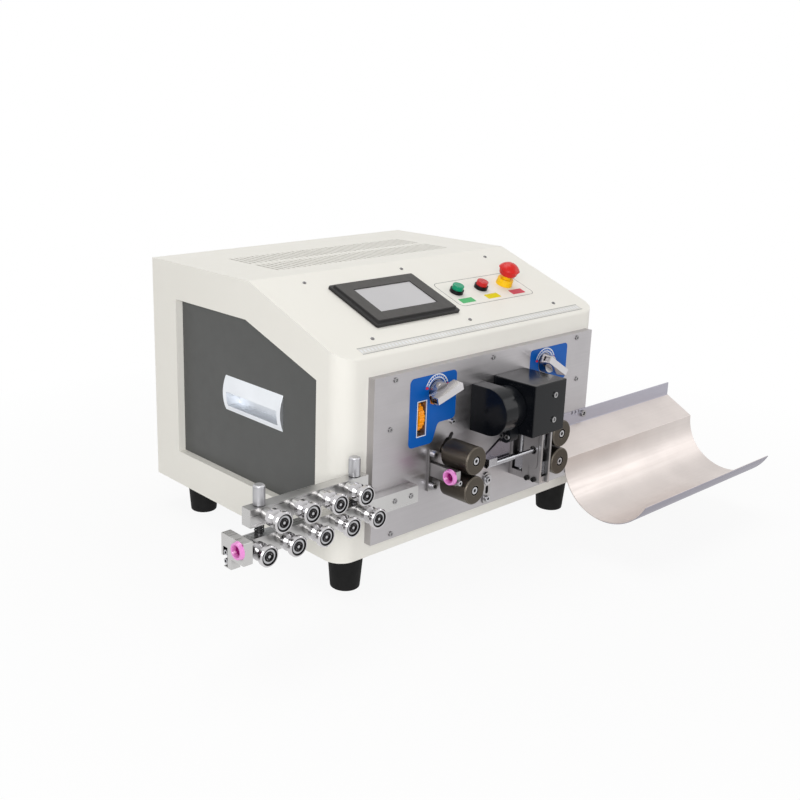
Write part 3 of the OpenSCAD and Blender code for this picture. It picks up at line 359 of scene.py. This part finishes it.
def tray_metal():
    """Rolled sheet with painted shade: cooler and darker on its upright flange and outside the trough."""
    f = metal("tray_aluminium", (210, 202, 198), 0.45, BRUSH_X, 300, 0.00001)
    # Painted shade on the upright flange
    flange = f.remap(f.below("Z", mm(0, 0, TRAY_FLANGE).z), 0, 1, 1, 0)
    f.tint(flange, (172, 170, 180))
    # Painted shade, darker still, outside the trough
    outside = f.nodes.new("ShaderNodeMath")
    outside.operation = "MULTIPLY"
    f.links.new(f.below("Y", mm(*TROUGH_AT).y), outside.inputs[0])
    f.links.new(f.beyond(mm(*TROUGH_AT), TROUGH_R / 1000), outside.inputs[1])
    f.tint(outside.outputs[0], (150, 147, 158))
    return f.mat


roller_dark = roller_metal()
tray_alu = tray_metal()
arm_black = arm_finish()

LOOKS = {
    "housing": cream, "rear_panel": cream, "base_plate": zinc, "side_panels": panel_grey,
    "side_handles": handle_silver, "front_plate": plate_alu, "feet": rubber, "panel_screws": screw_steel,
    "hmi_bezel": bezel_dark, "hmi_screen": screen, "button_collars": gloss_black, "start_button": green,
    "stop_button": red, "estop_collar": stop_yellow, "estop_stem": stop_yellow, "estop_head": stop_red,
    "front_knob": chrome, "rear_knob": chrome, "thumbwheel": orange, "pivot_pins": steel,
    "feed_brackets": machined, "front_lower_roller": roller_dark, "front_upper_roller": roller_dark,
    "rear_lower_roller": roller_dark, "rear_upper_roller": roller_dark, "front_arm": steel,
    "rear_arm": steel, "stepper_motors": matt_black, "cutter_shaft": steel, "cutter_screw": steel,
    "blade_guide": machined, "upper_blade_holder": steel, "lower_blade_holder": steel,
    "cutter_cover": gloss_black, "swing_cover": gloss_black, "swing_solenoid": matt_black,
    "swing_arm": arm_black, "guide_tube": steel, "eyelets": pink, "eyelet_holder": bar_alu,
    "straightener_bar": bar_alu, "straightener_slider": bar_alu, "left_thumbscrew": satin_chrome,
    "right_thumbscrew": satin_chrome, "straightener_springs": spring_black, "tray": tray_alu,
    "power_supply": zinc, "control_board": board, "power_inlet": matt_black, "rocker_switch": red,
}
for name, node in frame["nodes"].items():
    look = LOOKS.get(name, chrome)
    node.data.materials.clear()
    node.data.materials.append(look)

# Rounded edges of the sheet, cast and machined nodes, in millimetres
EDGES = {
    "front_plate": 0.8, "cutter_cover": 1.0, "swing_cover": 0.8, "swing_arm": 0.8, "hmi_bezel": 0.9,
    "feed_brackets": 0.5, "straightener_bar": 0.6, "straightener_slider": 0.6, "eyelet_holder": 0.6,
    "side_handles": 0.6, "start_button": 0.8, "stop_button": 0.8, "button_collars": 0.5,
    "estop_collar": 0.5, "feet": 1.5, "blade_guide": 0.4, "power_inlet": 0.4, "rocker_switch": 0.5,
    "left_thumbscrew": 0.4, "right_thumbscrew": 0.4, "front_knob": 0.8, "rear_knob": 0.8, "tray": 0.3,
}


def round_edges(node, width):
    """Rounds a node's sharp edges by modifiers, so its mesh stays as packed."""
    weld = node.modifiers.new("weld", "WELD")
    weld.merge_threshold = 0.00001
    flat = node.modifiers.new("flat", "DECIMATE")
    flat.decimate_type = "DISSOLVE"
    flat.angle_limit = math.radians(0.5)
    bevel = node.modifiers.new("bevel", "BEVEL")
    bevel.width = width / 1000
    bevel.segments = 3
    bevel.limit_method = "ANGLE"
    bevel.angle_limit = math.radians(38)
    normals = node.modifiers.new("normals", "WEIGHTED_NORMAL")
    normals.weight = 90


for name, width in EDGES.items():
    round_edges(frame["nodes"][name], width)


# Pieces of the looks
def shown(name, mesh, mat):
    """A new object with one material."""
    obj = bpy.data.objects.new(name, mesh)
    bpy.context.scene.collection.objects.link(obj)
    mesh.materials.clear()
    mesh.materials.append(mat)
    return obj


def piece(name, mesh, mat, body):
    """A new object that moves with a CAD body."""
    obj = shown(name, mesh, mat)
    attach(obj, body)
    return obj


def arc(cx, cy, r, a0, a1, n):
    """Points of an arc from angle a0 to a1, in n steps."""
    step = math.radians(a1 - a0) / n
    return [(cx + r * math.cos(math.radians(a0) + step * i), cy + r * math.sin(math.radians(a0) + step * i))
            for i in range(n + 1)]


def rounded(points, r, n=5):
    """A polygon with its corners rounded to radius r."""
    out = []
    count = len(points)
    for i, q in enumerate(points):
        q = Vector(q)
        u = (Vector(points[i - 1]) - q).normalized()
        v = (Vector(points[(i + 1) % count]) - q).normalized()
        half = u.angle(v) / 2
        cut = r / math.tan(half)
        a, b = q + u * cut, q + v * cut
        centre = q + (u + v).normalized() * r / math.sin(half)
        for k in range(n + 1):
            t = k / n
            p = (a - centre).lerp(b - centre, t).normalized() * r
            out.append(tuple(centre + p))
    return out


def box2(x0, y0, x1, y1, r=0):
    pts = [(x0, y0), (x1, y0), (x1, y1), (x0, y1)]
    return rounded(pts, r) if r else pts


def print_mesh(name, outlines, place, thick):
    """A thin flat piece from closed outlines on a face: inner outlines are holes."""
    curve = bpy.data.curves.new(name, "CURVE")
    curve.dimensions = "2D"
    curve.fill_mode = "BOTH"
    curve.extrude = thick / 2
    for outline in outlines:
        spline = curve.splines.new("POLY")
        spline.points.add(len(outline) - 1)
        for point, (u, v) in zip(spline.points, outline):
            point.co = (u, v, 0, 1)
        spline.use_cyclic_u = True
    obj = bpy.data.objects.new(name, curve)
    bpy.context.scene.collection.objects.link(obj)
    mesh = bpy.data.meshes.new_from_object(obj.evaluated_get(bpy.context.evaluated_depsgraph_get()))
    bpy.data.objects.remove(obj)
    bpy.data.curves.remove(curve)
    mesh.name = name
    mesh.transform(place @ Matrix.Translation((0, 0, thick / 2)))
    if place.determinant() < 0:
        mesh.flip_normals()
    return mesh


def flat(name, outlines, place, thick, mat, slot, body="machine"):
    return piece(name, print_mesh(name, outlines, place, thick), mat, body)


def ring(cx, cy, r0, r1, a0=0, a1=360, n=40):
    """Outlines of a ring or of a part of one."""
    if a1 - a0 >= 360:
        return [arc(cx, cy, r1, 0, 360 * (n - 1) / n, n - 1), arc(cx, cy, r0, 0, 360 * (n - 1) / n, n - 1)]
    return [arc(cx, cy, r1, a0, a1, n) + arc(cx, cy, r0, a1, a0, n)]


def joined(name, meshes):
    """One mesh from several."""
    bm = bmesh.new()
    for mesh in meshes:
        bm.from_mesh(mesh)
        bpy.data.meshes.remove(mesh)
    out = bpy.data.meshes.new(name)
    bm.to_mesh(out)
    bm.free()
    return out


def hexagon(cx, cy, r):
    return arc(cx, cy, r, 0, 300, 5)


def circle(cx, cy, r, n=40):
    return arc(cx, cy, r, 0, 360 * (n - 1) / n, n - 1)


def window(cx, cy, w, h, grow=0.0, r=0):
    """A box round a middle point, grown by the same amount on each side."""
    return box2(cx - w / 2 - grow, cy - h / 2 - grow, cx + w / 2 + grow, cy + h / 2 + grow, r)


def raised(place, height):
    return place @ Matrix.Translation((0, 0, height))


def prints(name, shapes, place, mat):
    """One thin printed piece from many single outlines."""
    meshes = [print_mesh(f"{name}{i}", [shape], place, INK) for i, shape in enumerate(shapes)]
    piece(name, joined(name, meshes), mat, "machine")


# Prints on the control slope: places are along x and up the slope, and a window is given by its middle,
# width and height
INK = 0.06
LINE = 0.9
RULER_X = (-186, 196)
RULER_S = (5.5, 16.5)
DASH = (2.7, 4.6)
DASH_PITCH = 5.2
FRAME_AT = (88.5, 83, 139, 56)
FRAME_R = 8
PATCHES = {"green": (39, patch_green), "yellow": (86, patch_yellow), "red": (133, patch_red)}
PATCH_S = 66
PATCH = (24, 10)
BEZEL_AT = (-64, 90)
BEZEL = (126, 81)
BEZEL_TOP = 7
SCREEN = (92, 51)
flat("ruler_band", [box2(RULER_X[0], RULER_S[0], RULER_X[1], RULER_S[1])], ON_SLOPE, INK, ink_pale, "housing")
prints("ruler_lines", [box2(RULER_X[0], s - LINE / 2, RULER_X[1], s + LINE / 2) for s in RULER_S],
       raised(ON_SLOPE, INK), ink_grey)
ruler_middle = (RULER_S[0] + RULER_S[1]) / 2
dash_count = int((RULER_X[1] - RULER_X[0]) / DASH_PITCH)
prints("ruler_dashes", [window(RULER_X[0] + DASH_PITCH * (i + 0.5), ruler_middle, *DASH)
                        for i in range(dash_count)], raised(ON_SLOPE, INK), ink_white)
flat("button_frame", [window(*FRAME_AT, 0, FRAME_R), window(*FRAME_AT, -LINE, FRAME_R - LINE)],
     ON_SLOPE, INK, ink_grey, "housing")
for name, (x, mat) in PATCHES.items():
    flat(f"{name}_patch", [window(x, PATCH_S, *PATCH, r=1)], ON_SLOPE, INK, mat, "housing")
flat("bezel_face", [window(*BEZEL_AT, *BEZEL, r=1.6), window(*BEZEL_AT, *SCREEN)],
     raised(ON_SLOPE, BEZEL_TOP), 0.15, bezel_grey, "hmi_bezel")

# Blue dial labels on the plate
LABEL = 0.3
KNOB_HOLE = 13
FRONT_KNOB = measured(JOINT_AT["front_knob"]).xz
REAR_KNOB = measured(JOINT_AT["rear_knob"]).xz
WHEEL_AT = (*measured(JOINT_AT["thumbwheel"]).xz, 12.5, 39.2)
ON_LABEL = raised(ON_PLATE, LABEL)
FRONT_LABEL = [(-128.5, 119), (-91, 119), (-82.5, 141.6), (-54, 141.6), (-54, 199.5), (-128.5, 199.5)]
FRONT_LABEL_R = 6
REAR_LABEL = (77, 154, 149, 200)
REAR_LABEL_R = 5
front_outline = rounded(FRONT_LABEL, FRONT_LABEL_R)
flat("front_label", [front_outline, window(*WHEEL_AT, 0.2), circle(*FRONT_KNOB, KNOB_HOLE)],
     ON_PLATE, LABEL, blue, "front_plate")
flat("rear_label", [box2(*REAR_LABEL, REAR_LABEL_R), circle(*REAR_KNOB, KNOB_HOLE)],
     ON_PLATE, LABEL, blue, "front_plate")
flat("wheel_frame", [window(*WHEEL_AT, 1.4), window(*WHEEL_AT, 0.4)], ON_LABEL, INK, ink_white, "front_plate")


# Dial scales: radii from the knob's axis, and angles round it
DIAL_LINES = ((17.7, 18.9), (14.2, 15.3))
DIAL_SPAN = (22, 158)
TICK = (15.7, 17.4)
TICK_WIDTH = 0.6
TICK_ANGLES = range(30, 151, 12)
END_MARK = (14.6, 18.8)
END_SPANS = ((11, 20), (160, 169))


def dial(name, cx, cy):
    """White scale round a knob, with short ticks and red ends."""
    shapes = [outline for radii in DIAL_LINES for outline in ring(cx, cy, *radii, *DIAL_SPAN)]
    for angle in TICK_ANGLES:
        a = math.radians(angle)
        out = Vector((math.cos(a), math.sin(a)))
        side = Vector((-out.y, out.x)) * TICK_WIDTH / 2
        low, high = (Vector((cx, cy)) + out * r for r in TICK)
        shapes.append([tuple(low + side), tuple(low - side), tuple(high - side), tuple(high + side)])
    prints(name, shapes, ON_LABEL, ink_white)
    ends = [outline for span in END_SPANS for outline in ring(cx, cy, *END_MARK, *span, 6)]
    prints(f"{name}_ends", ends, ON_LABEL, ink_red)


dial("front_dial", *FRONT_KNOB)
dial("rear_dial", *REAR_KNOB)


# Screws and other small fittings on the CAD nodes
def socket_screws(name, place, d, h, mat, body="machine", points=((0, 0),), deep=None):
    """Screw heads on a face, each with a hexagon socket and a dark floor in it, the floor being painted
    shade.
    """
    heads = []
    floors = []
    for i, (u, v) in enumerate(points):
        heads.append(print_mesh(f"{name}{i}", [circle(u, v, d / 2), hexagon(u, v, d * 0.28)], place, h))
        floors.append(print_mesh(f"{name}_floor{i}", [circle(u, v, d * 0.42)], place, deep or h * 0.4))
    obj = piece(name, joined(name, heads), mat, body)
    bevel = obj.modifiers.new("bevel", "BEVEL")
    bevel.width = d * 0.00005
    bevel.segments = 2
    # Matt black socket floors: painted shade
    piece(f"{name}_socket", joined(f"{name}_socket", floors), matt_black, body)


def front_of(node, depth=0.0):
    """Plane on the front end of a turning node, its axis in the middle."""
    at = JOINT_AT[node].copy()
    at.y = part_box(node)[0].y + depth / 1000
    return plane(at, X, Z, -Y)


# End faces of the rollers and spools: depth of the recess, and radii round the axis
RECESS = 1.5
SEAL = (7.2, 8.85)
RACE = (5.25, 7.15)
HUB = (3.55, 5)
SOCKET_R = 3.3
PIN_R = 1.5
for roller in ("front_lower_roller", "front_upper_roller", "rear_lower_roller", "rear_upper_roller"):
    socket_screws(f"{roller}_screw", front_of(roller, RECESS), 8.3, 1.3, satin_chrome, roller)
for spool in [n for n in frame["nodes"] if "_spool_" in n]:
    flat(f"{spool}_seal", ring(0, 0, *SEAL), front_of(spool, RECESS), 0.3, matt_black, "feet", spool)
    flat(f"{spool}_race", ring(0, 0, *RACE), front_of(spool, RECESS), 0.6, satin_chrome, spool, spool)
    flat(f"{spool}_hub", ring(0, 0, *HUB), front_of(spool), 0.1, dark_steel, "feet", spool)
    # Matt black hexagon in each spool's middle: painted shade in its socket
    flat(f"{spool}_socket", [hexagon(0, 0, SOCKET_R)], front_of(spool, 1.2), 0.1, matt_black, "feet", spool)
    flat(f"{spool}_pin", [circle(0, 0, PIN_R)], front_of(spool, 1.1), 0.6, satin_chrome, spool, spool)

# Bolts and screws by their faces, with places in the measuring frame
BRACKET_SHEET = 3
ON_BRACKET_SHEET = front_face(PLATE_FRONT - BRACKET_SHEET)
ON_BRACKET_END = front_face(measured(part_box("feed_brackets")[0]).y)
socket_screws("bracket_bolts", ON_BRACKET_SHEET, d=8, h=7, mat=satin_chrome,
              points=[(-92.5, 69), (-92.5, 107.5)], deep=5.2)
socket_screws("plate_bolt", ON_PLATE, d=6, h=3, mat=satin_chrome, points=[(-58.4, 138.2)])
socket_screws("eyelet_clamp", ON_BRACKET_END, d=6, h=3.5, mat=satin_chrome, points=[(-91.5, 84)])
ON_HOLDER = left_face(measured(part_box("eyelet_holder")[0]).x + 5)
# Matt black floor of the holder's slot: painted shade
flat("holder_slot", [box2(19.2, 61.2, 25.8, 80.8)], ON_HOLDER, 0.2, matt_black, "eyelet_holder")
socket_screws("holder_screws", ON_HOLDER, d=5.6, h=4.6, mat=satin_chrome, points=[(22.5, 66), (22.5, 75)])
ON_ARM = left_face(-5.8)
socket_screws("arm_screws", ON_ARM, d=6.4, h=1.6, mat=satin_chrome, body="swing_arm",
              points=[(41, 118), (49, 118)])
ON_GUIDE = left_face(measured(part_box("blade_guide")[0]).x)
socket_screws("guide_screws", ON_GUIDE, d=6, h=2.5, mat=matt_black, points=[(38.2, 51.5), (48.2, 52.2)])
flat("guide_cheek", [box2(34.5, 66, 52, 118, 5), circle(45, 89, 5)], ON_GUIDE, 0.8, machined, "blade_guide")

# Slotted plate beside the front rollers
SLOT_X = 8
SLOT_PLATE = (SLOT_X, 40, 12, 40)
SLOT_SHEET = 2
SLOT_AT = (SLOT_X, 38)
SLOT_BOLTS = ((SLOT_X, 51), (SLOT_X, 27))
WASHER = (3.7, 6.2)
ON_SLOT_PLATE = raised(ON_PLATE, SLOT_SHEET)
flat("slot_plate", [window(*SLOT_PLATE, r=5), window(*SLOT_AT, 5, 10, r=2)],
     ON_PLATE, SLOT_SHEET, machined, "feed_brackets")
# Matt black floor in the slot: painted shade
flat("slot_floor", [window(*SLOT_AT, 4.8, 9.8, r=2)], ON_PLATE, 0.2, matt_black, "feed_brackets")
flat("slot_washer", ring(*SLOT_BOLTS[0], *WASHER), ON_SLOT_PLATE, 1.2, satin_chrome, "panel_screws")
socket_screws("slot_bolts", ON_SLOT_PLATE, d=7, h=3, mat=satin_chrome, points=SLOT_BOLTS)

# Knurled sleeves: low and high side of a tooth over the head, and the bare band at each end
TOOTH = (0.02, 0.32)
SLEEVE_MARGIN = 2.5


def knurl(node, d, low, high, count=30):
    """Knurled sleeve round a thumbscrew's head."""
    middle = measured(JOINT_AT[node])
    teeth = []
    for i in range(2 * count):
        a = math.pi * i / count
        r = d / 2 + TOOTH[i % 2]
        teeth.append((middle.x + r * math.cos(a), middle.y + r * math.sin(a)))
    flat(f"{node}_knurl", [teeth], upper_face(low), high - low, satin_chrome, node, node)


slider_top = measured(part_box("straightener_slider")[1]).z
for node in ("left_thumbscrew", "right_thumbscrew"):
    head_low, head_high = (measured(corner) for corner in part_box(node))
    knurl(node, head_high.x - head_low.x, slider_top + SLEEVE_MARGIN, head_high.z - SLEEVE_MARGIN)

# Springs between the fixed bar and the slider, shown as a copy of the CAD springs' mesh
spring_mesh = frame["nodes"]["straightener_springs"].data.copy()
springs = shown("springs", spring_mesh, spring_black)
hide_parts("straightener_springs")
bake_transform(springs)

# Screws round the rear panel
REAR_INSET = 9
rear_low, rear_high = (measured(corner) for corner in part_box("rear_panel"))
rear_x = (rear_low.x + REAR_INSET, (rear_low.x + rear_high.x) / 2, rear_high.x - REAR_INSET)
rear_z = (rear_low.z + REAR_INSET, rear_high.z - REAR_INSET)
ON_REAR = plane(mm(0, rear_high.y, 0), -X, Z, Y)
socket_screws("rear_screws", ON_REAR, d=6.5, h=2, mat=screw_steel,
              points=[(-x, z) for x in rear_x for z in rear_z])


# Stage: floor, light and camera
def seen_directly(nodes, links):
    """1 for camera, mirror and glass rays, else 0."""
    path = nodes.new("ShaderNodeLightPath")
    seen = path.outputs["Is Camera Ray"]
    for other in ("Is Glossy Ray", "Is Transmission Ray"):
        either = nodes.new("ShaderNodeMath")
        either.operation = "MAXIMUM"
        links.new(seen, either.inputs[0])
        links.new(path.outputs[other], either.inputs[1])
        seen = either.outputs[0]
    return seen


def make_world():
    world = bpy.data.worlds.new("studio")
    bpy.context.scene.world = world
    world.use_nodes = True
    nodes, links = world.node_tree.nodes, world.node_tree.links
    soft = nodes["Background"]
    soft.inputs["Color"].default_value = (1, 0.98, 0.94, 1)
    soft.inputs["Strength"].default_value = 0.3
    white = nodes.new("ShaderNodeBackground")
    white.inputs["Color"].default_value = (1, 1, 1, 1)
    white.inputs["Strength"].default_value = 1.0
    mix = nodes.new("ShaderNodeMixShader")
    links.new(seen_directly(nodes, links), mix.inputs["Fac"])
    links.new(soft.outputs[0], mix.inputs[1])
    links.new(white.outputs[0], mix.inputs[2])
    links.new(mix.outputs[0], nodes["World Output"].inputs["Surface"])


# The floor's share of plain white grows from the first to the second value between these distances, in metres
FLOOR_FADE = (0.35, 0.9)
FLOOR_WHITE = (0.9, 1.0)


def make_floor():
    """White floor that keeps the shadow near the object and runs out into the background."""
    mat = bpy.data.materials.new("floor")
    mat.use_nodes = True
    nodes, links = mat.node_tree.nodes, mat.node_tree.links
    nodes.remove(nodes["Principled BSDF"])
    matt = nodes.new("ShaderNodeBsdfDiffuse")
    matt.inputs["Color"].default_value = (0.85, 0.85, 0.85, 1)
    white = nodes.new("ShaderNodeEmission")
    white.inputs["Strength"].default_value = 1.0
    away = nodes.new("ShaderNodeVectorMath")
    away.operation = "LENGTH"
    links.new(nodes.new("ShaderNodeTexCoord").outputs["Object"], away.inputs[0])
    share = nodes.new("ShaderNodeMapRange")
    for socket, number in zip(("From Min", "From Max", "To Min", "To Max"), FLOOR_FADE + FLOOR_WHITE):
        share.inputs[socket].default_value = number
    links.new(away.outputs["Value"], share.inputs["Value"])
    part = nodes.new("ShaderNodeMath")
    part.operation = "MULTIPLY"
    links.new(seen_directly(nodes, links), part.inputs[0])
    links.new(share.outputs["Result"], part.inputs[1])
    mix = nodes.new("ShaderNodeMixShader")
    links.new(part.outputs[0], mix.inputs["Fac"])
    links.new(matt.outputs[0], mix.inputs[1])
    links.new(white.outputs[0], mix.inputs[2])
    links.new(mix.outputs[0], nodes["Material Output"].inputs["Surface"])
    bm = bmesh.new()
    bmesh.ops.create_grid(bm, x_segments=1, y_segments=1, size=12)
    mesh = bpy.data.meshes.new("floor")
    bm.to_mesh(mesh)
    bm.free()
    mesh.materials.append(mat)
    floor = bpy.data.objects.new("floor", mesh)
    bpy.context.scene.collection.objects.link(floor)
    floor.location.z = cad_box[0].z - 0.0005


def area_light(name, at, target, size, power, tone=(1, 1, 1)):
    light = bpy.data.lights.new(name, "AREA")
    light.shape = "RECTANGLE"
    light.size, light.size_y = size
    light.energy = power
    light.color = tone
    obj = bpy.data.objects.new(name, light)
    bpy.context.scene.collection.objects.link(obj)
    obj.location = at
    obj.rotation_euler = (Vector(target) - Vector(at)).to_track_quat("-Z", "Y").to_euler()


def make_lights():
    middle = (0, 0, 0.18)
    area_light("key", (-2.1, -1.8, 1.1), middle, (1.6, 1.2), 47.5, (0.99, 0.99, 1))
    area_light("fill", (1.9, -1.5, 1.2), middle, (1.4, 1.4), 8)
    area_light("top", (0.1, 0.4, 2.4), middle, (2.0, 1.6), 22.5)


def make_camera():
    a, e, r = (math.radians(v) for v in (CAMERA_AZIMUTH, CAMERA_ELEVATION, CAMERA_ROLL))
    back = Vector((math.sin(a) * math.cos(e), -math.cos(a) * math.cos(e), math.sin(e)))
    side = Vector((math.cos(a), math.sin(a), 0))
    up = back.cross(side)
    right = side * math.cos(r) + up * math.sin(r)
    top = up * math.cos(r) - side * math.sin(r)
    camera = bpy.data.cameras.new("camera")
    camera.lens = LENS
    camera.shift_x, camera.shift_y = SHIFT
    obj = bpy.data.objects.new("camera", camera)
    bpy.context.scene.collection.objects.link(obj)
    turn = Matrix((right, top, back)).transposed().to_4x4()
    obj.matrix_world = Matrix.Translation(mm(*CAMERA_AT)) @ turn
    bpy.context.scene.camera = obj


make_world()
make_floor()
make_lights()
make_camera()
bpy.context.scene.view_settings.view_transform = "Standard"
